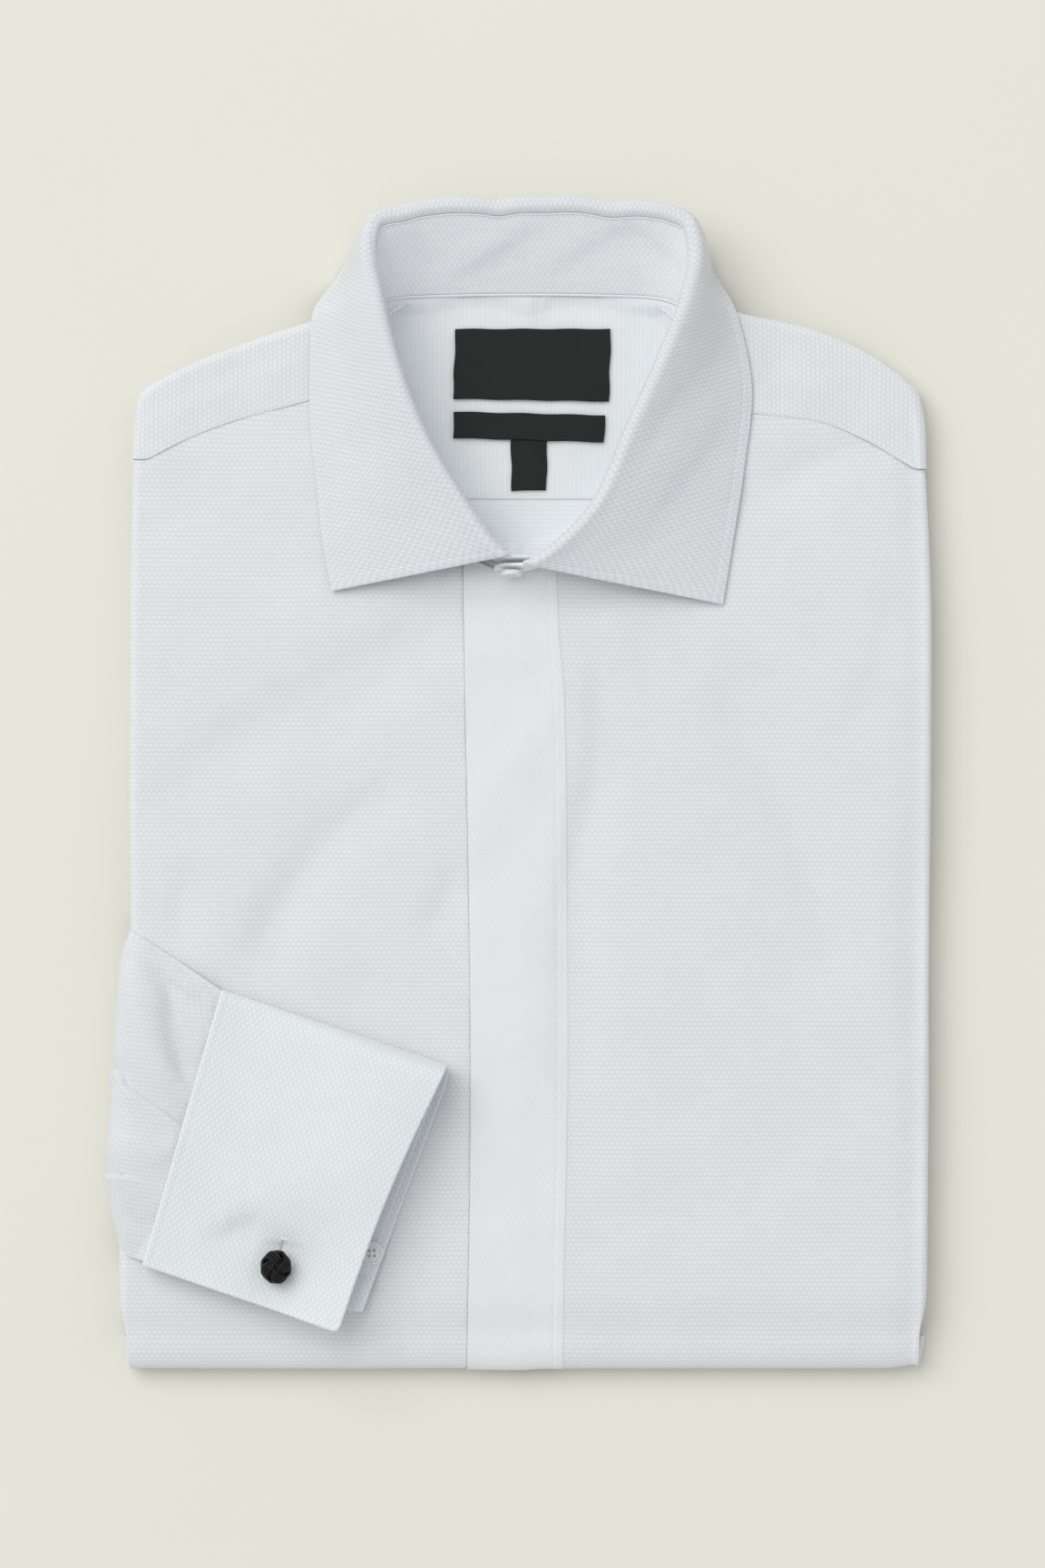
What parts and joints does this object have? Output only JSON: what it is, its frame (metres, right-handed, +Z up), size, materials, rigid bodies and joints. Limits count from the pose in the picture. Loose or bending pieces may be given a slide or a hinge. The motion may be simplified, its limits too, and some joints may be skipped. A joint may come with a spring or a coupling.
{
  "type": "dress shirt",
  "caption": "Long sleeve formal dress shirt, folded flat, with a spread collar, a covered front placket and one French cuff brought to the front and closed by a silk knot.",
  "frame": {"origin": "centre of the bounding box in plan, on the surface that the folded shirt lies on", "axes": "+X to the right of the front as it is seen, +Y towards the collar, +Z up from the surface"},
  "size_m": [0.3094, 0.4394, 0.0366],
  "materials": {
    "dobby_cotton": "matt",
    "placket_cotton": "matt",
    "inside_cotton": "matt",
    "woven_label": "satin",
    "silk_cord": "satin",
    "button": "gloss"
  },
  "bodies": {
    "root": {"back_inner": "inside_cotton", "collar_leaf": "dobby_cotton", "collar_stand": "dobby_cotton", "cuff": "dobby_cotton", "cuff_button": "button", "folded_layers": "inside_cotton", "front_left": "dobby_cotton", "front_right": "dobby_cotton", "knot_cord": "silk_cord", "knot_top": "silk_cord", "knot_under": "silk_cord", "label_fit": "woven_label", "label_main": "woven_label", "label_size": "woven_label", "neck_button": "button", "placket": "placket_cotton", "sleeve": "dobby_cotton", "yoke_inner": "inside_cotton", "yoke_outer": "dobby_cotton"}
  },
  "joints": []
}
